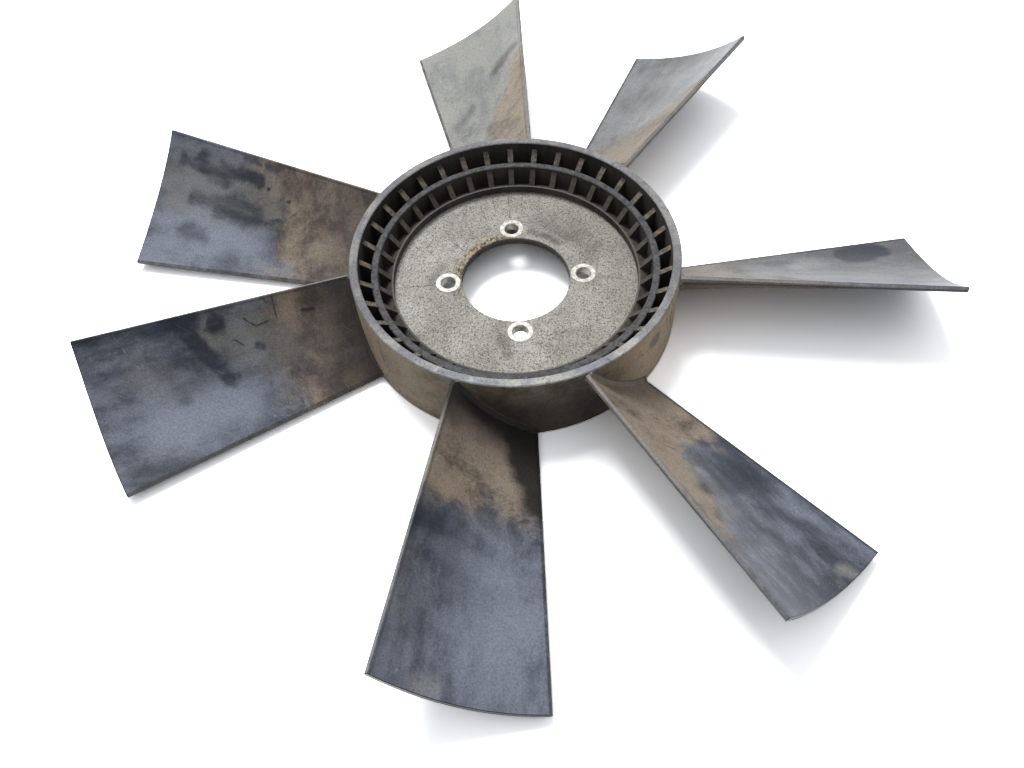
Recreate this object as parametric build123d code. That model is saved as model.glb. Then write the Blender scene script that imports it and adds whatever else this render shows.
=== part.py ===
from build123d import *
import math
import os

# Axial impeller of an engine cooling fan: one moulding of glass-filled nylon, with a
# ribbed hub and seven unevenly spaced blades, and four steel bolt bushes moulded into
# its mounting disc.
#
# Frame: the origin is on the axis, in the rear face of the mounting disc. +Z points
# forwards, out of the open ribbed side of the hub. Seen from there the impeller turns
# anticlockwise and drives the air forwards. All sizes are in millimetres.

# Hub radii, from the outside inwards
HUB_RADIUS = 117.5  # barrel's outer radius at the front rim
RIM_WALL = 6.0
OUTER_CHANNEL = 7.5  # gap between the rim and the middle ring
RING_WALL = 5.0  # middle ring
INNER_CHANNEL = 8.3  # gap between the middle ring and the lip
LIP_WALL = 1.1
BORE_RADIUS = 40.0  # pilot bore

# Hub heights, from the front backwards
HUB_HEIGHT = 58.0
RING_STEP = 13.0  # rim down to the top of the middle ring
LIP_STEP = 12.0  # middle ring down to the crest of the lip
RECESS_DEPTH = 6.5  # crest of the lip down to the disc
DISC_THICKNESS = 6.0
OUTER_FLOOR_WALL = 5.0  # floor of the outer pockets above the rear edge
INNER_FLOOR_FALL = 5.0  # floor of the inner pockets, from the lip down to the ring
DRAFT_DEG = 1.0  # mould draft on the barrel and rings

# Corners of the hub's section, all bevelled
BARREL_CHAMFER = 0.7  # front and rear edges of the barrel
RING_BEVEL = 0.6  # tops of the rim and the middle ring
REAR_BEVEL = 1.0
DISC_ROOT_BEVEL = 3.0
BORE_CHAMFER = 0.5
CHAMFER_RUNOUT = 0.1  # barrel chamfers carried on into the root fillets

# Radial ribs that cross both channels
RIB_COUNT = 36
RIB_THICKNESS = 4.2
RIB_PHASE_DEG = -1.8
RIB_RIM_DROP = 3.5  # rib below the rim, at the rim
RIB_RING_DROP = 0.8  # rib below the middle ring, on its outer side
RIB_POCKET_DROP = 2.0  # rib below the middle ring, on its inner side
RIB_LIP_DROP = 0.8  # rib below the crest of the lip

# Blades: ruled between a thick, steep root section and a thinner, flatter, more cambered tip section
TIP_RADIUS = 305.0
BLADE_FIRST_DEG = 93.5
BLADE_GAPS_DEG = (39.3, 59.3, 52.7, 42.6, 60.9, 40.7)  # clockwise, seen from the front
BLADE_FRONT_SETBACK = 2.7  # front long edge behind the rim, at the root
BLADE_REAR_SETBACK = 2.7  # rear long edge, which leads, before the rear of the hub
ROOT_PITCH_DEG = 45.0  # blade angle to the plane of rotation
ROOT_SAG = 6.3  # depth of the camber
ROOT_THICKNESS = 8.0
TIP_CHORD = 111.8
TIP_PITCH_DEG = 29.0
TIP_SAG = 9.5
TIP_THICKNESS = 4.4
TIP_SWEEP = 7.0  # tip section ahead of the root section, in the direction of turning
TIP_RISE = 4.6  # tip section in front of the root section
NOSE_THICKNESS = 4.0  # blade thickness at its two long edges
NOSE_PEAK = 0.8  # two bevels on each long edge meet in a parting line this far out
ROOT_BEVEL = 3.0  # between a blade's sides and the barrel
ROOT_BURIAL = 0.8  # corners of the root section inside the barrel's face
TIP_OVERRUN = 5.0  # blade made longer by this, then cut to the tip radius

# Bolt bushes
BOLT_CIRCLE_RADIUS = 50.0
BUSH_COUNT = 4
BUSH_RADIUS = 9.0
BUSH_BORE_RADIUS = 5.25  # clearance for an M10 bolt
BUSH_PROUD = 0.3  # bush stands out of the disc at each end
BUSH_CHAMFER = 0.6

# Heights in the part's frame
disc_front_z = DISC_THICKNESS
lip_z = disc_front_z + RECESS_DEPTH
ring_z = lip_z + LIP_STEP
rim_z = ring_z + RING_STEP
rear_z = rim_z - HUB_HEIGHT
outer_floor_z = rear_z + OUTER_FLOOR_WALL
inner_floor_z = lip_z - INNER_FLOOR_FALL

# Radii at the top of each wall
rim_inner = HUB_RADIUS - RIM_WALL
ring_outer = rim_inner - OUTER_CHANNEL
ring_inner = ring_outer - RING_WALL
lip_outer = ring_inner - INNER_CHANNEL
lip_inner = lip_outer - LIP_WALL

draft = math.tan(math.radians(DRAFT_DEG))


def barrel_radius(z):
    """Radius of the barrel's outer face at height z."""
    return HUB_RADIUS + draft * (rim_z - z)


def make_hub_blank():
    """Solid tapered barrel, taller than the hub, seamed between two blades."""
    low_z = rear_z - HUB_HEIGHT / 2
    high_z = rim_z + HUB_HEIGHT / 2
    outline = Polyline(
        (0, low_z),
        (barrel_radius(low_z), low_z),
        (barrel_radius(high_z), high_z),
        (0, high_z),
        close=True,
    )
    last_gap = 360 - sum(BLADE_GAPS_DEG)
    seam_deg = BLADE_FIRST_DEG + last_gap / 2
    return Rot(0, 0, seam_deg) * revolve(Plane.XZ * make_face(outline), Axis.Z)


def make_waste(corners):
    """Revolved solid of what is cut away, from corners of (radius, z, bevel)."""
    points = []
    for index, (radius, z, bevel) in enumerate(corners):
        if bevel == 0:
            points.append((radius, z))
            continue
        for other in (corners[index - 1], corners[(index + 1) % len(corners)]):
            share = bevel / math.hypot(other[0] - radius, other[1] - z)
            points.append((radius + share * (other[0] - radius), z + share * (other[1] - z)))
    return revolve(Plane.XZ * make_face(Polyline(*points, close=True)), Axis.Z)


def make_front_waste():
    """Everything in front of the disc, lip, middle ring and rim."""
    top_z = rim_z + HUB_HEIGHT
    shoulder_z = rim_z - BARREL_CHAMFER - CHAMFER_RUNOUT
    shoulder_radius = barrel_radius(rim_z) + CHAMFER_RUNOUT
    return make_waste([
        (0, top_z, 0),
        (0, disc_front_z, 0),
        (lip_inner, disc_front_z, 0),
        (lip_inner, lip_z, 0),
        (lip_outer, lip_z, 0),
        (ring_inner - draft * (ring_z - inner_floor_z), inner_floor_z, 0),
        (ring_inner, ring_z, RING_BEVEL),
        (ring_outer, ring_z, RING_BEVEL),
        (ring_outer + draft * (ring_z - outer_floor_z), outer_floor_z, 0),
        (rim_inner - draft * (rim_z - outer_floor_z), outer_floor_z, 0),
        (rim_inner, rim_z, RING_BEVEL),
        (barrel_radius(rim_z) - BARREL_CHAMFER, rim_z, 0),
        (shoulder_radius, shoulder_z, 0),
        (HUB_RADIUS + 4 * ROOT_BEVEL, shoulder_z, 0),
        (HUB_RADIUS + 4 * ROOT_BEVEL, top_z, 0),
    ])


def make_rear_waste():
    """Everything behind the disc, the middle ring and the barrel's rear edge."""
    bottom_z = rear_z - HUB_HEIGHT
    shoulder_z = rear_z + BARREL_CHAMFER + CHAMFER_RUNOUT
    shoulder_radius = barrel_radius(rear_z) + CHAMFER_RUNOUT
    return make_waste([
        (0, bottom_z, 0),
        (HUB_RADIUS + 4 * ROOT_BEVEL, bottom_z, 0),
        (HUB_RADIUS + 4 * ROOT_BEVEL, shoulder_z, 0),
        (shoulder_radius, shoulder_z, 0),
        (barrel_radius(rear_z) - BARREL_CHAMFER, rear_z, 0),
        (ring_inner, rear_z, REAR_BEVEL),
        (ring_inner + draft * rear_z, 0, DISC_ROOT_BEVEL),
        (0, 0, 0),
    ])


def make_rib():
    """One radial rib on +X; it stands on the pocket floors and ends inside the walls."""
    rim_middle = rim_inner + RIM_WALL / 2
    ring_middle = (ring_outer + ring_inner) / 2
    lip_middle = (lip_outer + lip_inner) / 2
    outline = Polyline(
        (rim_middle, rim_z - RIB_RIM_DROP),
        (ring_middle, ring_z - RIB_RING_DROP),
        (ring_inner, ring_z - RIB_POCKET_DROP),
        (lip_middle, lip_z - RIB_LIP_DROP),
        (lip_middle, inner_floor_z - DISC_THICKNESS / 2),
        (ring_middle, inner_floor_z - DISC_THICKNESS / 2),
        (ring_middle, outer_floor_z - OUTER_FLOOR_WALL / 2),
        (rim_middle, outer_floor_z - OUTER_FLOOR_WALL / 2),
        close=True,
    )
    return extrude(Plane.XZ * make_face(outline), RIB_THICKNESS / 2, both=True)


def blade_section(station, centre_y, centre_z, chord, pitch_deg, sag, thickness):
    """Thin cambered section in the plane x = station, hollow on its front side."""
    half = chord / 2
    nose = NOSE_THICKNESS / 2
    front = ThreePointArc((-half, nose), (0, thickness / 2 - sag), (half, nose))
    rear = ThreePointArc((half, -nose), (0, -thickness / 2 - sag), (-half, -nose))
    noses = [
        Polyline((side * half, nose), (side * (half + NOSE_PEAK), 0), (side * half, -nose))
        for side in (-1, 1)
    ]
    outline = [front, noses[1], rear, noses[0]]
    plane = Plane((station, centre_y, centre_z), x_dir=(0, 1, 0), z_dir=(1, 0, 0))
    return plane * Rot(0, 0, -pitch_deg) * make_face(outline)


def make_blade():
    """One blade on +X, from inside the barrel's wall out to the tip radius."""
    root_front_z = rim_z - BLADE_FRONT_SETBACK
    root_rear_z = rear_z + BLADE_REAR_SETBACK
    root_chord = (root_front_z - root_rear_z) / math.sin(math.radians(ROOT_PITCH_DEG))
    root_z = (root_front_z + root_rear_z) / 2
    root_half_width = root_chord / 2 * math.cos(math.radians(ROOT_PITCH_DEG))
    root_station = math.sqrt((HUB_RADIUS - ROOT_BURIAL) ** 2 - root_half_width**2)
    root = blade_section(
        root_station, 0, root_z, root_chord, ROOT_PITCH_DEG, ROOT_SAG, ROOT_THICKNESS
    )
    tip = blade_section(
        TIP_RADIUS + TIP_OVERRUN, TIP_SWEEP, root_z + TIP_RISE,
        TIP_CHORD, TIP_PITCH_DEG, TIP_SAG, TIP_THICKNESS,
    )
    blade = loft([root, tip], ruled=True)
    return blade & Cylinder(TIP_RADIUS, 4 * HUB_HEIGHT)


def is_root_seam(edge):
    """True for an edge along a blade's side where it leaves the barrel's outer face."""
    return edge.length > 4 * NOSE_THICKNESS and all(
        abs(math.hypot(point.X, point.Y) - barrel_radius(point.Z)) < 0.01
        and rear_z < point.Z < rim_z
        for point in (edge @ 0, edge @ 0.5, edge @ 1)
    )


def blade_angles():
    """Blade directions in degrees, stepping clockwise by the uneven gaps."""
    angles = [BLADE_FIRST_DEG]
    for gap in BLADE_GAPS_DEG:
        angles.append(angles[-1] - gap)
    return angles


def make_bush_blank():
    """A bush without its bore, standing on +X of the bolt circle."""
    length = DISC_THICKNESS + 2 * BUSH_PROUD
    middle_z = DISC_THICKNESS / 2
    return Pos(BOLT_CIRCLE_RADIUS, 0, middle_z) * Cylinder(BUSH_RADIUS, length)


def bush_angles():
    """Bush directions in degrees, the first on +X."""
    return [index * 360 / BUSH_COUNT for index in range(BUSH_COUNT)]


def is_bore_mouth(edge):
    """True for the front rim of the pilot bore."""
    if edge.geom_type != GeomType.CIRCLE:
        return False
    in_front_face = abs((edge @ 0).Z - disc_front_z) < 0.01
    return in_front_face and abs(edge.radius - BORE_RADIUS) < 0.01


def make_bush():
    """A bored bush on +X of the bolt circle, chamfered where the bolt enters."""
    bore = Cylinder(BUSH_BORE_RADIUS, 2 * DISC_THICKNESS)
    bush = make_bush_blank() - Pos(BOLT_CIRCLE_RADIUS, 0, DISC_THICKNESS / 2) * bore
    front_circles = bush.faces().sort_by(Axis.Z)[-1].edges()
    mouth = front_circles.filter_by(lambda edge: abs(edge.radius - BUSH_BORE_RADIUS) < 0.01)
    return chamfer(mouth, BUSH_CHAMFER)


def make_impeller():
    """The whole moulding: ribbed hub, blades and the seats of the bushes."""
    blade = make_blade()
    body = make_hub_blank() + [Rot(0, 0, angle) * blade for angle in blade_angles()]
    body = chamfer(body.edges().filter_by(is_root_seam), ROOT_BEVEL)
    body -= make_front_waste()
    body -= make_rear_waste()
    body -= Cylinder(BORE_RADIUS, 4 * DISC_THICKNESS)
    body = chamfer(body.edges().filter_by(is_bore_mouth), BORE_CHAMFER)
    rib = make_rib()
    rib_step = 360 / RIB_COUNT
    body += [Rot(0, 0, RIB_PHASE_DEG + index * rib_step) * rib for index in range(RIB_COUNT)]
    blank = make_bush_blank()
    return body - [Rot(0, 0, angle) * blank for angle in bush_angles()]


os.makedirs("parts", exist_ok=True)
export_step(make_impeller(), "parts/impeller.step")
for number, angle in enumerate(bush_angles(), start=1):
    export_step(Rot(0, 0, angle) * make_bush(), f"parts/bush_{number}.step")
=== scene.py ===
import math
import bpy
from mathutils import Matrix, Vector

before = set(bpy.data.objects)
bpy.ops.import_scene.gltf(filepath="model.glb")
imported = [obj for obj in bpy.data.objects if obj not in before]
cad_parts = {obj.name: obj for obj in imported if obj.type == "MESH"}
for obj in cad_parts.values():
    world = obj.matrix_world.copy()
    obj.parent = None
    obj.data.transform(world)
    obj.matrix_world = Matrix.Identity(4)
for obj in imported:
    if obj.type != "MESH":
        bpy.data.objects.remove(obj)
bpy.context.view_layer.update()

# Sizes of the drum, in metres
HUB_HEIGHT = 0.0580
RING_STEP = 0.0130
LIP_STEP = 0.0120
RIM_WALL = 0.0060
OUTER_CHANNEL = 0.0075
RING_WALL = 0.0050
INNER_CHANNEL = 0.0083
LIP_WALL = 0.0011
DRAFT_SLOPE = math.tan(math.radians(1.0))

# Heights and radii in the part's own frame
REAR_Z = -0.0205
RIM_Z = REAR_Z + HUB_HEIGHT
RING_Z = RIM_Z - RING_STEP
LIP_Z = RING_Z - LIP_STEP
DISC_Z = 0.0060
TIP_R = 0.3050
BARREL_R = 0.1175
RIM_INNER_R = BARREL_R - RIM_WALL
RING_OUTER_R = RIM_INNER_R - OUTER_CHANNEL
RING_INNER_R = RING_OUTER_R - RING_WALL
LIP_OUTER_R = RING_INNER_R - INNER_CHANNEL
DISC_R = LIP_OUTER_R - LIP_WALL
BORE_R = 0.0400

# The blades' front (high) and rear (low) edges run straight from root to end,
# given as the distance along the blade and each edge's sideways place there
EDGE_ROOT, EDGE_END = 0.1136, 0.310
FRONT_EDGE = (-0.0263, -0.0419)
REAR_EDGE = (0.0263, 0.0559)

# One row for each blade: direction in degrees, painted sheen (0 to 1) standing in
# for the sky's reflection, tone of the clean plastic and of the dust (0.5 is the
# middle), painted shade at the root, how far from the axis the dust reaches, its
# depth, and how much more it reaches along the front edge
BLADES = (
    (93.5, 1.00, 0.54, 0.56, 0.0, 0.152, 0.85, 0.50),
    (54.2, 0.42, 0.49, 0.56, 0.0, 0.165, 0.80, 0.50),
    (-5.1, 0.10, 0.50, 0.58, 0.0, 0.168, 0.80, 0.42),
    (-57.8, 0.00, 0.46, 0.61, 0.2, 0.178, 0.90, 0.45),
    (-100.4, 0.00, 0.52, 0.60, 0.6, 0.186, 0.92, 0.05),
    (-161.3, 0.00, 0.50, 0.49, 0.9, 0.180, 0.95, 0.02),
    (158.0, 0.00, 0.54, 0.51, 0.6, 0.190, 0.95, 0.25),
)
(
    BLADE_DEG, PAINTED_SHEEN, CLEAN_TONE, DUST_TONE,
    ROOT_SHADE, DUST_REACH, DUST_DEPTH, EDGE_DUST,
) = zip(*BLADES)

# Noises: scale per metre, detail, roughness
NOISES = {
    "clouds": (13.0, 5.0, 0.6),
    "streaks": (90.0, 4.0, 0.65),
    "fine": (260.0, 6.0, 0.7),
    "grain": (1400.0, 2.0, 0.6),
    "grit": (760.0, 4.0, 0.8),
    "dust reach": (24.0, 6.0, 0.7),
    "dust tone": (36.0, 6.0, 0.68),
    "soot": (55.0, 5.0, 0.65),
    "speckled": (22.0, 3.0, 0.6),
    "pits": (620.0, 3.0, 0.6),
    "specks": (520.0, 3.0, 0.65),
    "patchy": (60.0, 4.0, 0.65),
    "scratch lanes": (1.0, 1.0, 0.55),
    "worn": (180.0, 4.0, 0.7),
    "side dirt": (40.0, 6.0, 0.7),
    "crackled": (26.0, 3.0, 0.6),
    "rim cream": (30.0, 5.0, 0.7),
    "disc tone": (26.0, 5.0, 0.7),
    "disc smudge": (48.0, 5.0, 0.7),
    "disc speck": (1250.0, 2.0, 0.6),
    "disc grit": (700.0, 3.0, 0.7),
    "rust crumbs": (380.0, 4.0, 0.7),
    "zinc patch": (320.0, 5.0, 0.65),
    "zinc fine": (2500.0, 3.0, 0.6),
}

# Warps: scale per metre, push in metres, detail
WARPS = {
    "smeared": (30.0, 0.030, 3.0),
    "ragged": (45.0, 0.016, 4.0),
    "frayed": (350.0, 0.0022, 2.0),
    "hairline": (120.0, 0.003, 3.0),
    "dust": (30.0, 0.008, 3.0),
    "side dirt": (30.0, 0.020, 3.0),
    "crackle": (90.0, 0.002, 2.0),
    "stain": (120.0, 0.008, 2.0),
    "drum crack": (150.0, 0.004, 3.0),
}
WARP_ROUGHNESS = 0.55
CRACKLE_SCALE = 55.0
STAIN_PLACE = (0.0898, -0.0761, 0.0202)

# Camera, lamp, sky and floor
CAMERA_PLACE = (-0.01101, -0.41499, 0.48260)
CAMERA_RIGHT = (0.997393, -0.062031, -0.036864)
CAMERA_UP = (0.072041, 0.827008, 0.557555)
SENSOR_MM = 36.0
LENS_MM = 29.858
KEY_PLACE = (-0.35, 0.95, 1.90)
KEY_TARGET = (0.0, 0.0, 0.0)
KEY_WIDTH = 0.8
KEY_WATTS = 30.0
SKY_COLOUR = (0.95, 0.97, 1.0, 1.0)
SKY_LEAN = (-0.10, 0.40, 0.91)
SKY_LEVELS = {"From Min": -0.05, "From Max": 0.9, "To Min": 0.03, "To Max": 0.78}
WHITE = (1.0, 1.0, 1.0, 1.0)
FLOOR_SEEN = (2.3, 2.3, 2.32, 1.0)
FLOOR_BOUNCED = (0.35, 0.35, 0.35, 1.0)
FLOOR_HALF = 4.0
FLOOR_GAP = 0.0001

# Paints, as 8-bit sRGB, tuned until patches of the render came near the photo's
PAINTS = {
    "plastic dark": (64, 69, 80),
    "plastic light": (128, 134, 147),
    # Painted sheen: pale grey standing in for the sky's reflection on the far blades
    "film dark": (124, 127, 129),
    "film light": (164, 164, 158),
    "dust dark": (93, 76, 61),
    "dust light": (172, 154, 131),
    # Painted shade at the blade roots, next to the drum
    "root shade": (55, 45, 36),
    "soot": (56, 56, 60),
    "pit": (50, 48, 48),
    "speck": (172, 170, 166),
    "light zone": (146, 153, 167),
    "beige zone": (134, 131, 124),
    "dark smear and shade": (44, 49, 61),
    "pale mark": (176, 174, 170),
    "scratch": (158, 160, 164),
    "underside dark": (70, 62, 54),
    "underside light": (128, 114, 98),
    "underside outer": (70, 70, 74),
    # Painted highlight on the nose's top, over rubbed wear, and painted shade below it
    "nose rubbed highlight": (150, 151, 153),
    "nose below shade": (36, 34, 33),
    "rear edge": (52, 50, 49),
    "parting line": (46, 45, 46),
    "tip line": (44, 44, 47),
    "pocket dark": (46, 44, 42),
    "pocket light": (82, 78, 73),
    "rib dust dark": (80, 73, 65),
    "rib dust light": (132, 122, 108),
    "ring dark": (68, 68, 71),
    "ring light": (98, 98, 99),
    "side dirt dark": (108, 97, 83),
    "side dirt light": (186, 172, 151),
    # Painted light: paler paints for the drum's left and right sides
    "side painted light left": (214, 192, 164),
    "side painted light right": (240, 217, 186),
    "side crackle": (46, 42, 38),
    "side stain": (74, 78, 72),
    "rim back": (126, 125, 129),
    # Painted sheen toward the front of the rim
    "rim front sheen": (150, 151, 157),
    "rim cream": (196, 194, 186),
    "rim grain": (110, 106, 102),
    "disc dark": (166, 163, 154),
    "disc light": (194, 192, 184),
    "disc smudge": (112, 103, 92),
    "disc right": (132, 126, 114),
    "disc grease": (58, 52, 46),
    "disc speck": (58, 54, 49),
    "crust dark": (58, 48, 37),
    "crust light": (172, 155, 126),
    "bore edge": (84, 74, 62),
    "lip crest": (104, 102, 98),
    # Painted shadow and shade, mixed with oily soil, on the nearest blade's root and the drum's
    # front
    "oil on blade": (28, 27, 26),
    "oil on barrel": (34, 31, 27),
    "crack": (34, 31, 29),
    "zinc dark": (176, 172, 162),
    "zinc light": (232, 229, 220),
}

# Marks: start and end (x, y or x, y, z in metres), radius, softness, strength.
# Their places were picked in the photo, cast onto the part and tuned
DARK_SMEARS_AND_SHADE = (
    ((-0.2900, -0.0520), (-0.2250, -0.0400), 0.0085, 0.0060, 0.80),
    ((-0.2320, -0.0440), (-0.2200, -0.0540), 0.0070, 0.0035, 0.85),
    ((-0.2200, -0.0540), (-0.2030, -0.0700), 0.0065, 0.0035, 0.85),
    ((-0.2500, -0.0640), (-0.2330, -0.0860), 0.0045, 0.0050, 0.50),
    ((-0.2095, -0.0430), (-0.2055, -0.0420), 0.0040, 0.0025, 0.80),
    ((-0.1812, -0.0507), (-0.1785, -0.0510), 0.0036, 0.0018, 0.85),
    ((-0.1700, -0.0600), (-0.1480, -0.0660), 0.0080, 0.0080, 0.40),
    ((-0.2600, 0.1330), (-0.2350, 0.1200), 0.0040, 0.0030, 0.75),
    ((-0.2420, 0.1250), (-0.1920, 0.1010), 0.0056, 0.0030, 0.80),
    ((-0.2350, 0.1190), (-0.2220, 0.1090), 0.0050, 0.0030, 0.70),
    ((-0.2520, 0.1060), (-0.2200, 0.0950), 0.0056, 0.0040, 0.75),
    ((-0.2300, 0.0960), (-0.1990, 0.0800), 0.0078, 0.0045, 0.75),
    ((-0.2620, 0.0820), (-0.2450, 0.0760), 0.0075, 0.0060, 0.55),
    ((-0.1930, 0.0742), (-0.1677, 0.0757), 0.0012, 0.0010, 0.70),
    ((-0.1850, 0.1090), (-0.1650, 0.0990), 0.0030, 0.0025, 0.65),
    ((-0.2050, 0.1180), (-0.1900, 0.1120), 0.0022, 0.0020, 0.60),
    ((-0.0700, -0.2000), (-0.0480, -0.2000), 0.0085, 0.0060, 0.60),
    ((-0.0420, -0.2060), (-0.0330, -0.2100), 0.0080, 0.0060, 0.50),
    ((-0.0750, -0.2350), (-0.0720, -0.2600), 0.0090, 0.0070, 0.55),
    ((-0.0880, -0.2500), (-0.0900, -0.2700), 0.0050, 0.0050, 0.45),
    ((-0.0820, -0.2050), (-0.0760, -0.1850), 0.0040, 0.0040, 0.55),
    ((0.1080, -0.1850), (0.1380, -0.1650), 0.0095, 0.0060, 0.65),
    ((0.1250, -0.2100), (0.1450, -0.2250), 0.0060, 0.0060, 0.55),
    ((0.1450, -0.1950), (0.1700, -0.2100), 0.0070, 0.0080, 0.50),
    ((0.1700, -0.1850), (0.1900, -0.2050), 0.0050, 0.0070, 0.45),
    ((-0.0029, 0.2336), (0.0113, 0.2415), 0.0060, 0.0050, 0.60),
    ((-0.0380, 0.1900), (-0.0250, 0.2050), 0.0060, 0.0070, 0.45),
    ((0.2042, -0.0116), (0.2070, -0.0112), 0.0024, 0.0016, 0.75),
    ((0.2550, 0.0120), (0.2750, 0.0160), 0.0120, 0.0060, 0.90),
    ((0.1950, 0.0080), (0.2080, 0.0090), 0.0080, 0.0060, 0.60),
    # A broad painted shade over the outer part of the blade along +x
    ((0.2100, 0.0050), (0.2900, 0.0050), 0.0500, 0.0120, 0.42),
)
BEIGE_ZONES = (
    ((-0.2620, 0.1180), (-0.2000, 0.0930), 0.0190, 0.0100, 0.65),
    ((-0.2120, -0.0480), (-0.1650, -0.0480), 0.0130, 0.0090, 0.75),
    ((-0.2600, -0.0700), (-0.2450, -0.0780), 0.0110, 0.0090, 0.40),
    ((-0.0780, -0.2150), (-0.0820, -0.2550), 0.0100, 0.0080, 0.40),
    ((0.1500, 0.0000), (0.2900, 0.0050), 0.0400, 0.0100, 0.70),
    ((0.1050, 0.1600), (0.1600, 0.2400), 0.0300, 0.0200, 0.45),
    ((0.0950, -0.1700), (0.1150, -0.2050), 0.0070, 0.0060, 0.45),
)
LIGHT_ZONES = (
    ((-0.2450, -0.1050), (-0.1950, -0.0850), 0.0170, 0.0150, 0.95),
    ((-0.2560, 0.0860), (-0.2080, 0.0600), 0.0140, 0.0130, 0.90),
    ((-0.0330, -0.2150), (-0.0280, -0.2850), 0.0200, 0.0170, 0.60),
    ((-0.2900, 0.1050), (-0.2700, 0.0950), 0.0120, 0.0120, 0.40),
    ((0.2100, -0.2250), (0.1900, -0.1950), 0.0130, 0.0140, 0.35),
)
# Oily soil on the nearest blade's root with painted shadow of the drum over it; the second row,
# along the drum, is painted shadow
BLADE_OIL_AND_SHADOW = (
    ((0.0030, -0.1200), (0.0120, -0.1660), 0.0220, 0.0055, 0.94),
    ((-0.0450, -0.1120), (0.0060, -0.1200), 0.0190, 0.0110, 0.90),
)
# Oily soil and painted shade on the front of the drum
BARREL_OIL_AND_SHADE = (
    ((-0.0200, -0.1150, 0.0000), (0.0350, -0.1110, -0.0020), 0.0300, 0.0240, 0.85),
)
GREASE = (
    ((0.0160, 0.0460), (0.0330, 0.0330), 0.0034, 0.0050, 0.70),
    ((0.0240, 0.0560), (0.0460, 0.0380), 0.0090, 0.0100, 0.40),
    ((0.0560, 0.0150), (0.0620, 0.0260), 0.0050, 0.0060, 0.35),
    ((-0.0118, -0.0667), (-0.0100, -0.0680), 0.0035, 0.0035, 0.55),
    ((-0.0160, -0.0560), (-0.0100, -0.0620), 0.0030, 0.0040, 0.40),
    ((-0.0560, 0.0150), (-0.0600, 0.0060), 0.0030, 0.0040, 0.35),
    ((-0.0300, 0.0450), (-0.0180, 0.0500), 0.0040, 0.0050, 0.30),
)
BARREL_CRACKS = (
    ((-0.1048, -0.0537, 0.0300), (-0.1046, -0.0542, -0.0060), 0.0004, 0.0004, 0.80),
    ((-0.0960, -0.0685, 0.0320), (-0.0955, -0.0692, 0.0040), 0.0004, 0.0004, 0.75),
    ((-0.0955, -0.0692, 0.0120), (-0.0900, -0.0762, 0.0020), 0.0004, 0.0004, 0.65),
    ((0.1040, -0.0550, 0.0340), (0.1046, -0.0542, 0.0080), 0.0006, 0.0004, 0.85),
    ((0.1010, -0.0602, 0.0360), (0.0985, -0.0642, 0.0290), 0.0006, 0.0005, 0.85),
    ((0.0985, -0.0642, 0.0290), (0.1000, -0.0620, 0.0200), 0.0004, 0.0004, 0.80),
    ((0.0925, -0.0730, 0.0300), (0.0930, -0.0724, 0.0100), 0.0005, 0.0004, 0.70),
)
PALE_MARKS = (
    ((-0.2730, -0.0551), (-0.2512, -0.0775), 0.0004, 0.0004, 0.50),
    ((-0.2492, -0.0602), (-0.2483, -0.0669), 0.0004, 0.0004, 0.45),
    ((-0.2483, -0.0669), (-0.2517, -0.0753), 0.0004, 0.0004, 0.45),
    ((-0.0632, -0.2925), (-0.0700, -0.2900), 0.0060, 0.0060, 0.35),
    ((0.1769, -0.2371), (0.1850, -0.2390), 0.0030, 0.0040, 0.45),
    ((0.2130, 0.0033), (0.2250, 0.0060), 0.0060, 0.0080, 0.30),
    ((-0.2000, 0.0440), (-0.1800, 0.0390), 0.0050, 0.0050, 0.30),
)
CRACKS = (
    ((-0.1703, -0.0286), (-0.1676, -0.0375), 0.0004, 0.0004, 0.90),
    ((-0.1896, -0.0394), (-0.1826, -0.0427), 0.0004, 0.0004, 0.90),
    ((-0.1826, -0.0427), (-0.1743, -0.0391), 0.0004, 0.0004, 0.90),
    ((-0.1978, -0.0504), (-0.1918, -0.0531), 0.0004, 0.0004, 0.85),
    ((-0.1512, -0.0317), (-0.1432, -0.0309), 0.0009, 0.0005, 0.80),
    ((-0.1881, 0.0954), (-0.1865, 0.0950), 0.0011, 0.0006, 0.80),
    ((-0.1725, 0.0839), (-0.1712, 0.0834), 0.0011, 0.0006, 0.80),
    ((0.0830, -0.1562), (0.0919, -0.1568), 0.0004, 0.0004, 0.85),
    ((-0.0600, -0.0010), (-0.0885, -0.0020), 0.0003, 0.0003, 0.75),
    ((-0.0003, 0.0600), (-0.0008, 0.0888), 0.0003, 0.0003, 0.75),
    ((-0.0233, 0.0784), (-0.0186, 0.0593), 0.0003, 0.0003, 0.65),
    ((-0.0426, 0.0373), (-0.0381, 0.0317), 0.0004, 0.0003, 0.70),
    ((-0.0130, 0.0865), (-0.0108, 0.0650), 0.0003, 0.0003, 0.60),
    ((-0.0335, 0.0810), (-0.0290, 0.0690), 0.0003, 0.0003, 0.55),
    ((0.0110, 0.0880), (0.0085, 0.0640), 0.0003, 0.0003, 0.50),
)


def linear(byte):
    """Linear light of an 8-bit sRGB value."""
    c = byte / 255
    return c / 12.92 if c <= 0.04045 else ((c + 0.055) / 1.055) ** 2.4


def paint(name):
    """Linear colour of a named paint."""
    return (*(linear(byte) for byte in PAINTS[name]), 1.0)


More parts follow.
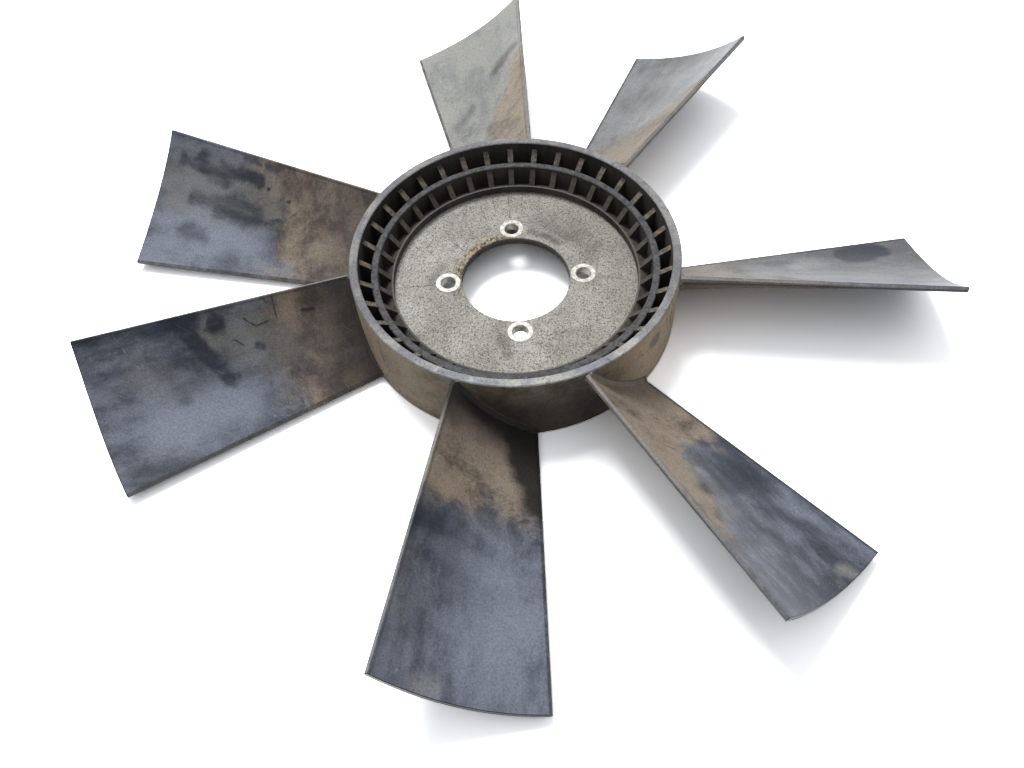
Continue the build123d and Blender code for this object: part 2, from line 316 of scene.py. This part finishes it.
class Graph:
    """A material and short calls that add nodes to it.

    A value handed to a call is a socket, a number, a tuple or a paint's name.
    """

    def __init__(self, name):
        self.material = bpy.data.materials.new(name)
        self.material.use_nodes = True
        self.tree = self.material.node_tree
        self.tree.nodes.clear()

    def put(self, socket, value):
        if isinstance(value, bpy.types.NodeSocket):
            self.tree.links.new(value, socket)
        elif isinstance(value, str):
            socket.default_value = paint(value)
        elif value is not None:
            socket.default_value = value

    def put_all(self, node, **values):
        for name, value in values.items():
            self.put(node.inputs[name.replace("_", " ")], value)

    def add(self, kind, *values, **settings):
        node = self.tree.nodes.new("ShaderNode" + kind)
        for key, value in settings.items():
            setattr(node, key, value)
        for socket, value in zip(node.inputs, values):
            self.put(socket, value)
        return node

    def math(self, operation, a, b=None, c=None):
        return self.add("Math", a, b, c, operation=operation).outputs[0]

    def vector(self, operation, a, b=None):
        node = self.add("VectorMath", a, b, operation=operation)
        scalar = operation in ("LENGTH", "DOT_PRODUCT", "DISTANCE")
        return node.outputs["Value" if scalar else "Vector"]

    def smooth(self, value, start, end, low=0.0, high=1.0):
        """Smooth step from low at start to high at end; start may be above end."""
        node = self.add("MapRange", interpolation_type="SMOOTHSTEP")
        self.put_all(
            node, Value=value, From_Min=start, From_Max=end, To_Min=low, To_Max=high
        )
        return node.outputs[0]

    def linear(self, value, start, end, low=0.0, high=1.0):
        return self.add("MapRange", value, start, end, low, high).outputs[0]

    def band(self, value, low, high, soft):
        """1 between low and high, fading to 0 over soft on each side."""
        up = self.smooth(value, low - soft, low + soft)
        down = self.smooth(value, high + soft, high - soft)
        return self.math("MULTIPLY", up, down)

    def times(self, *values):
        result = values[0]
        for value in values[1:]:
            result = self.math("MULTIPLY", result, value)
        return result

    def most(self, *values):
        result = values[0]
        for value in values[1:]:
            result = self.math("MAXIMUM", result, value)
        return result

    def mix(self, factor, a, b, blend="MIX"):
        node = self.add("Mix", data_type="RGBA", blend_type=blend, clamp_factor=True)
        self.put(node.inputs[0], factor)
        self.put(node.inputs[6], a)
        self.put(node.inputs[7], b)
        return node.outputs[2]

    def noise_node(self, vector, scale, detail, rough):
        node = self.add("TexNoise")
        self.put_all(
            node, Vector=vector, Scale=scale, Detail=detail, Roughness=rough, Distortion=0.0
        )
        return node

    def noise(self, vector, name):
        """The named noise at this point."""
        return self.noise_node(vector, *NOISES[name]).outputs["Fac"]

    def cell_edges(self, vector, scale):
        """Distance to the nearest edge of a field of random cells."""
        node = self.add("TexVoronoi", feature="DISTANCE_TO_EDGE")
        self.put_all(node, Vector=vector, Scale=scale, Randomness=1.0)
        return node.outputs["Distance"]

    def warp(self, vector, name):
        """The vector pushed about by noise, by up to half the named warp's push."""
        scale, push, detail = WARPS[name]
        noise = self.noise_node(vector, scale, detail, WARP_ROUGHNESS).outputs["Color"]
        offset = self.vector("SUBTRACT", noise, (0.5,) * 3)
        return self.vector("ADD", vector, self.vector("MULTIPLY", offset, (push,) * 3))

    def scratches(self, vector, turn_deg, length, width, share):
        """Thin straight marks, length by width metres; share says how many."""
        turned = self.add("VectorRotate", rotation_type="Z_AXIS")
        self.put_all(turned, Vector=vector, Angle=math.radians(turn_deg))
        stretch = (1 / length, 1 / width, 1 / length)
        lanes = self.vector("MULTIPLY", turned.outputs[0], stretch)
        start = 0.78 - 0.12 * share
        return self.smooth(self.noise(lanes, "scratch lanes"), start, start + 0.04)

    def stroke(self, point, start, end, radius, soft):
        """A soft smear from start to end, both (x, y) or (x, y, z) in metres."""
        a = (*start, 0.0)[:3]
        run = tuple(after - before for before, after in zip(a, (*end, 0.0)[:3]))
        squared = sum(c * c for c in run)
        from_a = self.vector("SUBTRACT", point, a)
        along = self.vector("DOT_PRODUCT", from_a, tuple(c / squared for c in run))
        held = self.math("MINIMUM", self.math("MAXIMUM", along, 0.0), 1.0)
        scaled = self.add("VectorMath", run, operation="SCALE")
        self.put_all(scaled, Scale=held)
        gap = self.vector("DISTANCE", from_a, scaled.outputs[0])
        return self.smooth(gap, radius + soft, max(radius - soft, 0.0))

    def marks(self, point, rows):
        """The strongest of the rows' strokes at this point."""
        return self.most(*(
            self.times(self.stroke(point, start, end, radius, soft), strength)
            for start, end, radius, soft, strength in rows
        ))

    def per_blade(self, turn, *columns):
        """One value for each of three columns, held over each blade's sector."""
        node = self.add("ValToRGB", turn)
        ramp = node.color_ramp
        ramp.interpolation = "CONSTANT"
        order = sorted(range(len(BLADES)), key=lambda i: BLADE_DEG[i])
        stops = [(0.0, order[0])]
        for here, after in zip(order, order[1:] + order[:1]):
            gap = (BLADE_DEG[after] - BLADE_DEG[here]) % 360
            stops.append((((BLADE_DEG[here] + gap / 2 + 180) % 360) / 360, after))
        stops.sort(key=lambda stop: stop[0])
        while len(ramp.elements) > 1:
            ramp.elements.remove(ramp.elements[-1])
        for index, (position, blade) in enumerate(stops):
            element = ramp.elements[0] if index == 0 else ramp.elements.new(position)
            element.position = position
            element.color = (*(column[blade] for column in columns), 1.0)
        return self.add("SeparateColor", node.outputs[0]).outputs

    def finish(self, colour, roughness, height, strength, distance, **sockets):
        bump = self.add("Bump")
        self.put_all(bump, Strength=strength, Distance=distance, Height=height)
        shader = self.add("BsdfPrincipled")
        self.put_all(
            shader, Base_Color=colour, Roughness=roughness, Normal=bump.outputs[0], **sockets
        )
        output = self.add("OutputMaterial")
        self.put(output.inputs[0], shader.outputs[0])
        return self.material


class Moulding:
    """Weathered black plastic: dusty near the hub, smeared and scratched further out.

    The blade, hub, drum_side, rim and disc methods each return the colour of that part.
    """

    def __init__(self):
        g = self.g = Graph("weathered_nylon")
        self.place = g.add("TexCoord").outputs["Object"]
        self.x, self.y, self.z = g.add("SeparateXYZ", self.place).outputs
        self.flat = g.vector("MULTIPLY", self.place, (1.0, 1.0, 0.0))
        self.r = g.vector("LENGTH", self.flat)
        self.turn = g.linear(g.math("ARCTAN2", self.y, self.x), -math.pi, math.pi)
        normal = g.add("NewGeometry").outputs["True Normal"]
        self.facing = g.add("SeparateXYZ", normal).outputs[2]
        self.smeared = g.warp(self.flat, "smeared")
        self.ragged = g.warp(g.warp(self.flat, "ragged"), "frayed")
        self.hairline = g.warp(self.flat, "hairline")
        self.fine = g.noise(self.place, "fine")
        self.clouds = g.noise(self.smeared, "clouds")

        # The drum is drafted, so blades begin where its radius at this height ends
        drum_r = g.math("MULTIPLY_ADD", self.z, -DRAFT_SLOPE, BARREL_R + DRAFT_SLOPE * RIM_Z)
        self.on_blade = g.smooth(g.math("SUBTRACT", self.r, drum_r), 0.0001, 0.0006)
        outside = g.smooth(self.r, BARREL_R - 0.0015, BARREL_R - 0.0007)
        self.on_side = g.times(outside, g.smooth(self.facing, 0.5, 0.2))
        self.find_blade()

    def find_blade(self):
        """Place on the nearest blade: distances in from its front and rear edges."""
        g = self.g
        headings = [math.radians(a) for a in BLADE_DEG]
        half_cos, half_sin, self.painted_sheen = g.per_blade(
            self.turn,
            [(math.cos(a) + 1) / 2 for a in headings],
            [(math.sin(a) + 1) / 2 for a in headings],
            PAINTED_SHEEN,
        )
        cos = g.math("MULTIPLY_ADD", half_cos, 2.0, -1.0)
        sin = g.math("MULTIPLY_ADD", half_sin, 2.0, -1.0)
        out = g.math("ADD", g.times(self.x, cos), g.times(self.y, sin))
        side = g.math("SUBTRACT", g.times(self.y, cos), g.times(self.x, sin))
        front_edge = g.linear(out, EDGE_ROOT, EDGE_END, *FRONT_EDGE)
        rear_edge = g.linear(out, EDGE_ROOT, EDGE_END, *REAR_EDGE)
        self.from_front = g.math("SUBTRACT", side, front_edge)
        self.from_rear = g.math("SUBTRACT", rear_edge, side)
        self.lengthways = g.add("CombineXYZ", g.times(out, 0.35), side, self.z).outputs[0]

    def clean_plastic(self, clean_shift):
        """Blue-grey clouds, brushed along the blade, under a painted sheen on some: pale grey
        standing in for their sky reflection.
        """
        g = self.g
        streaks = g.noise(self.lengthways, "streaks")
        tone = g.math("MULTIPLY_ADD", streaks, 0.35, g.math("MULTIPLY", self.clouds, 0.65))
        tone = g.math("ADD", tone, clean_shift)
        clean = g.mix(g.smooth(tone, 0.40, 0.61), "plastic dark", "plastic light")
        # Painted sheen: the far blades turn pale grey where the sky's reflection would be
        painted_sheen = g.mix(g.smooth(tone, 0.36, 0.6), "film dark", "film light")
        return g.mix(self.painted_sheen, clean, painted_sheen)

    def blade(self):
        """The blades' colour."""
        g = self.g
        clean_tone, dust_tone, root_shade = g.per_blade(
            self.turn, CLEAN_TONE, DUST_TONE, ROOT_SHADE
        )
        clean = self.clean_plastic(g.math("SUBTRACT", clean_tone, 0.5))

        # Dust: thick near the hub and along the front edge, in ragged tongues
        reach, depth, edge_reach = g.per_blade(self.turn, DUST_REACH, DUST_DEPTH, EDGE_DUST)
        along_front = g.smooth(self.from_front, 0.040, 0.0)
        reach = g.math("MULTIPLY_ADD", g.times(along_front, edge_reach), 0.16, reach)
        patch = g.math("MULTIPLY_ADD", g.noise(self.smeared, "dust reach"), 0.12, -0.060)
        past_dust = g.math("SUBTRACT", g.math("ADD", self.r, patch), reach)
        dusty = g.smooth(past_dust, 0.016, -0.016)
        self.dusty = g.times(dusty, depth, g.linear(self.fine, 0.25, 0.7, 0.6, 1.0))
        blots = g.noise(g.warp(self.flat, "dust"), "dust tone")
        self.dust_tone = g.math("ADD", blots, g.math("SUBTRACT", dust_tone, 0.5))
        dust = g.mix(g.smooth(self.dust_tone, 0.36, 0.64), "dust dark", "dust light")
        # Painted shade: darker toward the drum on the nearer blades, where the drum's shade falls
        root_shaded = g.times(g.smooth(self.r, 0.172, 0.124), root_shade)
        dust = g.mix(g.times(root_shaded, 0.95), dust, "root shade")
        colour = g.mix(self.dusty, clean, dust)

        # Soil: dark blotches at the edge of the dust, pits and pale specks in patches
        fringe = g.band(past_dust, -0.012, 0.030, 0.012)
        blotches = g.smooth(g.noise(self.smeared, "soot"), 0.50, 0.62)
        soot = g.times(fringe, blotches, g.linear(self.painted_sheen, 0.0, 1.0, 0.62, 0.3))
        colour = g.mix(soot, colour, "soot")
        speckled = g.smooth(g.noise(self.flat, "speckled"), 0.44, 0.60)
        pits = g.smooth(g.noise(self.place, "pits"), 0.62, 0.68)
        specks = g.smooth(g.noise(self.place, "specks"), 0.64, 0.70)
        colour = g.mix(g.times(speckled, pits, 0.55), colour, "pit")
        colour = g.mix(g.times(speckled, specks, 0.50), colour, "speck")
        return self.blade_edges(self.blade_marks(colour))

    def blade_marks(self, colour):
        """Zones, smudges and pale marks where the photo shows them, one broad dark smudge being
        painted shade, and scratches all over.
        """
        g = self.g
        light = g.times(g.marks(self.smeared, LIGHT_ZONES), g.smooth(self.dusty, 0.8, 0.2))
        colour = g.mix(light, colour, "light zone")
        thinned = g.linear(self.fine, 0.3, 0.6, 0.5, 1.0)
        colour = g.mix(
            g.times(g.marks(self.smeared, BEIGE_ZONES), thinned), colour, "beige zone"
        )
        patchy = g.linear(g.noise(self.lengthways, "patchy"), 0.34, 0.56, 0.55, 1.0)
        # Dark smudges, and in the last, broad row a painted shade over the blade along +x
        smears_and_shade = g.times(g.marks(self.ragged, DARK_SMEARS_AND_SHADE), patchy)
        colour = g.mix(g.smooth(smears_and_shade, 0.0, 0.85, 0.0, 0.92), colour, "dark smear and shade")
        colour = g.mix(g.marks(self.ragged, PALE_MARKS), colour, "pale mark")
        rubbed = g.most(
            g.scratches(self.flat, 20.0, 0.03, 0.0011, 0.3),
            g.scratches(self.flat, -65.0, 0.04, 0.0012, 0.2),
        )
        return g.mix(g.times(rubbed, 0.35), colour, "scratch")

    def blade_edges(self, colour):
        """A rubbed pale nose with a painted highlight on top and painted shade on its lower side,
        a black parting line and a brown underside.
        """
        g = self.g
        worn = g.linear(g.noise(self.place, "worn"), 0.3, 0.65, 0.35, 1.0)
        below = g.mix(
            g.smooth(self.dust_tone, 0.38, 0.6), "underside dark", "underside light"
        )
        below = g.mix(g.smooth(self.r, 0.16, 0.27), below, "underside outer")
        colour = g.mix(g.smooth(self.facing, 0.05, -0.15), colour, below)
        on_nose = g.smooth(self.from_front, 0.0014, 0.0008)
        # Painted highlight along the top of the front edge's nose, over rubbed wear
        nose_top_worn_and_lit = g.times(on_nose, worn, g.smooth(self.facing, 0.25, 0.45), 0.8)
        colour = g.mix(nose_top_worn_and_lit, colour, "nose rubbed highlight")
        # Painted shade on the lower side of the nose
        nose_side_shade = g.times(on_nose, g.smooth(self.facing, 0.30, 0.15), 0.85)
        colour = g.mix(nose_side_shade, colour, "nose below shade")
        on_rear = g.smooth(self.from_rear, 0.0014, 0.0007)
        colour = g.mix(g.times(on_rear, worn, 0.9), colour, "rear edge")
        parting = g.band(self.from_front, 0.0018, 0.0026, 0.0005)
        colour = g.mix(g.times(parting, worn, 0.6), colour, "parting line")
        return g.mix(g.smooth(self.r, TIP_R - 0.0008, TIP_R - 0.0002), colour, "tip line")

    def hub(self):
        """The drum's colour: dark pockets, then each part of the drum over them."""
        g = self.g
        faces_up = g.smooth(self.facing, 0.35, 0.75)
        colour = g.mix(g.smooth(self.dust_tone, 0.35, 0.7), "pocket dark", "pocket light")
        dust = g.mix(g.smooth(self.fine, 0.35, 0.65), "rib dust dark", "rib dust light")
        outer_rib = g.band(self.r, RING_OUTER_R, RIM_INNER_R, 0.0003)
        outer_top = g.smooth(self.z, RING_Z - 0.0045, RING_Z - 0.0005)
        colour = g.mix(g.times(faces_up, outer_rib, outer_top), colour, dust)
        inner_rib = g.band(self.r, LIP_OUTER_R, RING_INNER_R, 0.0003)
        inner_top = g.smooth(self.z, LIP_Z - 0.0030, LIP_Z - 0.0010)
        colour = g.mix(g.times(faces_up, inner_rib, inner_top, 0.30), colour, dust)
        ring = g.mix(g.smooth(self.fine, 0.35, 0.6), "ring dark", "ring light")
        on_ring = g.band(self.r, RING_INNER_R, RING_OUTER_R, 0.0003)
        ring_top = g.smooth(self.z, RING_Z - 0.0009, RING_Z - 0.0004)
        colour = g.mix(g.times(ring_top, on_ring), colour, ring)
        colour = g.mix(self.on_side, colour, self.drum_side())
        on_rim = g.times(
            g.smooth(self.z, RIM_Z - 0.0013, RIM_Z - 0.0003),
            g.smooth(self.r, RIM_INNER_R - 0.0010, RIM_INNER_R - 0.0003),
        )
        colour = g.mix(on_rim, colour, self.rim())
        on_disc = g.times(
            g.smooth(self.r, DISC_R + 0.0001, DISC_R - 0.0002),
            g.smooth(self.z, DISC_Z + 0.0012, DISC_Z + 0.0006),
            g.smooth(self.z, DISC_Z - 0.0030, DISC_Z - 0.0008),
        )
        colour = g.mix(on_disc, colour, self.disc())
        on_lip = g.band(self.r, DISC_R, LIP_OUTER_R + 0.0001, 0.0002)
        lip_top = g.smooth(self.z, LIP_Z - 0.0008, LIP_Z - 0.0002)
        return g.mix(g.times(on_lip, lip_top), colour, "lip crest")

    def drum_side(self):
        """Beige dirt with fine crackle and one stain, and painted light that makes it paler at
        the left and right sides.
        """
        g = self.g
        tone = g.noise(g.warp(self.place, "side dirt"), "side dirt")
        colour = g.mix(g.smooth(tone, 0.3, 0.66), "side dirt dark", "side dirt light")
        # Painted light: the dirt turns paler toward the left and right sides, paler than the real
        # dirt, standing in for the side light
        colour = g.mix(g.smooth(self.x, -0.040, -0.095, 0.0, 0.45), colour, "side painted light left")
        colour = g.mix(g.smooth(self.x, 0.040, 0.090, 0.0, 0.75), colour, "side painted light right")
        edges = g.cell_edges(g.warp(self.place, "crackle"), CRACKLE_SCALE)
        cracked = g.times(
            g.smooth(edges, 0.035, 0.010),
            g.smooth(g.math("ABSOLUTE", self.x), 0.062, 0.078),
            g.smooth(g.noise(self.place, "crackled"), 0.50, 0.60),
        )
        colour = g.mix(g.times(cracked, 0.4), colour, "side crackle")
        stain = g.vector("DISTANCE", g.warp(self.place, "stain"), STAIN_PLACE)
        return g.mix(g.times(g.smooth(stain, 0.010, 0.004), 0.6), colour, "side stain")

    def rim(self):
        """Rubbed grey with cream patches; a painted sheen makes it paler, with more cream, toward
        the front where the camera stands.
        """
        g = self.g
        # Painted sheen: the rim turns paler and creamier toward the front, standing in for its
        # reflection
        front_sheen = g.smooth(self.y, -0.050, -0.112)
        cream = g.smooth(g.noise(self.place, "rim cream"), 0.42, 0.60)
        cream = g.times(cream, g.linear(front_sheen, 0.0, 1.0, 0.35, 1.0))
        colour = g.mix(front_sheen, "rim back", "rim front sheen")
        colour = g.mix(cream, colour, "rim cream")
        return g.mix(g.smooth(self.fine, 0.56, 0.68), colour, "rim grain")

    def disc(self):
        """Pale grit with fine black specks, grease, and a crust of rust by the bore."""
        g = self.g
        speck = g.most(
            g.smooth(g.noise(self.place, "disc speck"), 0.46, 0.38),
            g.smooth(g.noise(self.place, "disc grit"), 0.41, 0.35),
        )
        tone = g.noise(self.place, "disc tone")
        colour = g.mix(g.smooth(tone, 0.35, 0.65), "disc dark", "disc light")
        smudge = g.smooth(g.noise(self.smeared, "disc smudge"), 0.56, 0.70)
        colour = g.mix(g.times(smudge, 0.55), colour, "disc smudge")
        colour = g.mix(g.smooth(self.x, -0.03, 0.09, 0.0, 0.35), colour, "disc right")
        colour = g.mix(g.marks(self.ragged, GREASE), colour, "disc grease")
        colour = g.mix(g.times(speck, 0.80), colour, "disc speck")
        rust_side = g.math("ADD", g.times(self.x, -0.78), g.times(self.y, 0.62))
        rusty = g.times(
            g.smooth(self.r, BORE_R + 0.0115, BORE_R + 0.0025),
            g.smooth(rust_side, 0.012, 0.036),
            g.linear(self.fine, 0.3, 0.6, 0.5, 1.0),
        )
        crumbs = g.smooth(g.noise(self.place, "rust crumbs"), 0.42, 0.58)
        colour = g.mix(rusty, colour, g.mix(crumbs, "crust dark", "crust light"))
        return g.mix(g.times(g.smooth(self.r, BORE_R + 0.0005, BORE_R), 0.6), colour, "bore edge")

    def make(self):
        """The whole material: blades and hub, then oily soil with painted shade, cracks and grit
        over both.
        """
        g = self.g
        blade = self.blade()
        colour = g.mix(self.on_blade, self.hub(), blade)
        # Oily soil with painted shadow of the drum on the nearest blade's root, and with painted
        # shade on the drum's front
        oil_and_shade = g.times(g.marks(self.ragged, BLADE_OIL_AND_SHADOW), self.on_blade)
        colour = g.mix(oil_and_shade, colour, "oil on blade")
        oil_and_shade = g.times(g.marks(self.place, BARREL_OIL_AND_SHADE), g.smooth(self.facing, 0.5, 0.3))
        colour = g.mix(oil_and_shade, colour, "oil on barrel")
        colour = g.mix(g.marks(self.hairline, CRACKS), colour, "crack")
        wandering = g.warp(self.place, "drum crack")
        cracks = g.times(g.marks(wandering, BARREL_CRACKS), self.on_side)
        colour = g.mix(cracks, colour, "crack")
        gritty = g.linear(g.noise(self.place, "grit"), 0.32, 0.68, 0.66, 1.32)
        grit = g.add("CombineColor", gritty, gritty, gritty).outputs[0]
        colour = g.mix(1.0, colour, grit, "MULTIPLY")
        cover = g.most(self.dusty, g.math("SUBTRACT", 1.0, self.on_blade))
        matte = g.math("MULTIPLY_ADD", self.clouds, 0.3, g.math("MULTIPLY", cover, 0.85))
        rough = g.linear(matte, 0.1, 1.0, 0.36, 0.74)
        grain = g.noise(self.place, "grain")
        height = g.math("MULTIPLY_ADD", grain, 0.35, g.math("MULTIPLY", self.fine, 0.65))
        return g.finish(colour, rough, height, 0.4, 0.0006, Specular_IOR_Level=0.35)


def make_bush_steel():
    """Dull zinc-plated steel with a pale bloom."""
    g = Graph("bush_zinc")
    place = g.add("TexCoord").outputs["Object"]
    patch = g.noise(place, "zinc patch")
    fine = g.noise(place, "zinc fine")
    colour = g.mix(g.smooth(patch, 0.4, 0.62), "zinc dark", "zinc light")
    rough = g.linear(patch, 0.3, 0.7, 0.38, 0.6)
    return g.finish(colour, rough, fine, 0.25, 0.0002, Metallic=0.35)


def make_floor_material():
    """Matte floor that reads as white to the camera and keeps its shadows."""
    g = Graph("pale_floor")
    seen = g.add("BsdfDiffuse", FLOOR_SEEN)
    bounced = g.add("BsdfDiffuse", FLOOR_BOUNCED)
    path = g.add("LightPath").outputs
    direct = g.most(
        path["Is Camera Ray"], path["Is Glossy Ray"], path["Is Transmission Ray"]
    )
    blend = g.add("MixShader", direct, bounced.outputs[0], seen.outputs[0])
    output = g.add("OutputMaterial")
    g.put(output.inputs[0], blend.outputs[0])
    return g.material


def set_material(thing, material):
    for slot in thing.material_slots:
        slot.material = material
    if not thing.material_slots:
        thing.data.materials.append(material)


def make_floor():
    """A square floor just under the rear edge of the drum."""
    half = FLOOR_HALF
    corners = [(-half, -half, 0), (half, -half, 0), (half, half, 0), (-half, half, 0)]
    mesh = bpy.data.meshes.new("floor")
    mesh.from_pydata(corners, [], [(0, 1, 2, 3)])
    mesh.materials.append(make_floor_material())
    floor = bpy.data.objects.new("floor", mesh)
    floor.location.z = REAR_Z - FLOOR_GAP
    bpy.context.scene.collection.objects.link(floor)
    return floor


def make_world():
    """Pale light, stronger from behind and above, white where it is seen."""
    world = bpy.data.worlds.new("studio")
    bpy.context.scene.world = world
    world.use_nodes = True
    tree = world.node_tree
    tree.nodes.clear()
    path = tree.nodes.new("ShaderNodeLightPath")
    heading = tree.nodes.new("ShaderNodeTexCoord")
    lean = tree.nodes.new("ShaderNodeVectorMath")
    lean.operation = "DOT_PRODUCT"
    lean.inputs[1].default_value = SKY_LEAN
    level = tree.nodes.new("ShaderNodeMapRange")
    for name, value in SKY_LEVELS.items():
        level.inputs[name].default_value = value
    lit = tree.nodes.new("ShaderNodeBackground")
    lit.inputs[0].default_value = SKY_COLOUR
    white = tree.nodes.new("ShaderNodeBackground")
    white.inputs[0].default_value = WHITE
    blend = tree.nodes.new("ShaderNodeMixShader")
    output = tree.nodes.new("ShaderNodeOutputWorld")
    for start, end in (
        (heading.outputs["Generated"], lean.inputs[0]),
        (lean.outputs["Value"], level.inputs["Value"]),
        (level.outputs[0], lit.inputs[1]),
        (path.outputs["Is Camera Ray"], blend.inputs[0]),
        (lit.outputs[0], blend.inputs[1]),
        (white.outputs[0], blend.inputs[2]),
        (blend.outputs[0], output.inputs[0]),
    ):
        tree.links.new(start, end)


def add_lamp(name, place, target, width, power):
    """A square soft lamp that faces its target."""
    data = bpy.data.lights.new(name, "AREA")
    data.shape = "SQUARE"
    data.size = width
    data.energy = power
    lamp = bpy.data.objects.new(name, data)
    lamp.location = place
    lamp.rotation_euler = (Vector(target) - Vector(place)).to_track_quat("-Z", "Y").to_euler()
    bpy.context.scene.collection.objects.link(lamp)


def add_camera():
    """The photo's camera, fitted to its bolt holes, rims and blade corners."""
    data = bpy.data.cameras.new("camera")
    data.sensor_width = SENSOR_MM
    data.lens = LENS_MM
    data.clip_start = 0.01
    right = Vector(CAMERA_RIGHT)
    up = Vector(CAMERA_UP)
    pose = Matrix((right, up, right.cross(up))).transposed().to_4x4()
    pose.translation = CAMERA_PLACE
    camera = bpy.data.objects.new("camera", data)
    camera.matrix_world = pose
    bpy.context.scene.collection.objects.link(camera)
    bpy.context.scene.camera = camera


moulding = Moulding().make()
steel = make_bush_steel()
for name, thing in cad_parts.items():
    set_material(thing, steel if name.startswith("bush") else moulding)

floor = make_floor()
make_world()
add_lamp("key", KEY_PLACE, KEY_TARGET, KEY_WIDTH, KEY_WATTS)
add_camera()
bpy.context.scene.view_settings.view_transform = "Standard"
